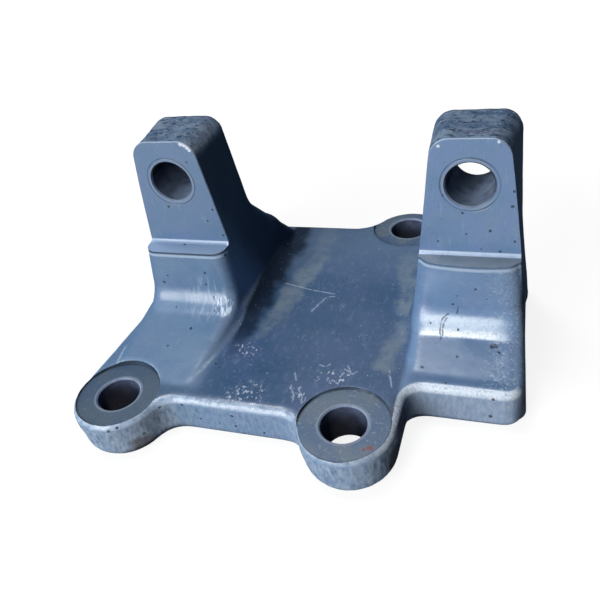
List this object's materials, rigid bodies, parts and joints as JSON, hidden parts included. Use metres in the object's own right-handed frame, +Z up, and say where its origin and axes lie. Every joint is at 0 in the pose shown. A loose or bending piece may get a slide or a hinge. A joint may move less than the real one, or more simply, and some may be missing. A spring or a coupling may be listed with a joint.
{
  "type": "thrust rod bracket",
  "caption": "Forged thrust rod bracket: two upright pinned ears with milled faces on a bolted base plate with spot-faced corner lugs.",
  "frame": {"origin": "on the flat underside, midway between the two ear bores in X, in the plane of the milled ear faces in Y", "axes": "+X along the line through the two ear bores' centres, -Y the way the milled ear faces look (towards the rod), +Z up from the base plate"},
  "size_m": [0.2219, 0.2085, 0.1226],
  "materials": {
    "painted_forging": "satin blue-grey paint over a forged skin, bare on the machined faces"
  },
  "bodies": {
    "root": {"bracket": "painted_forging"}
  },
  "joints": []
}
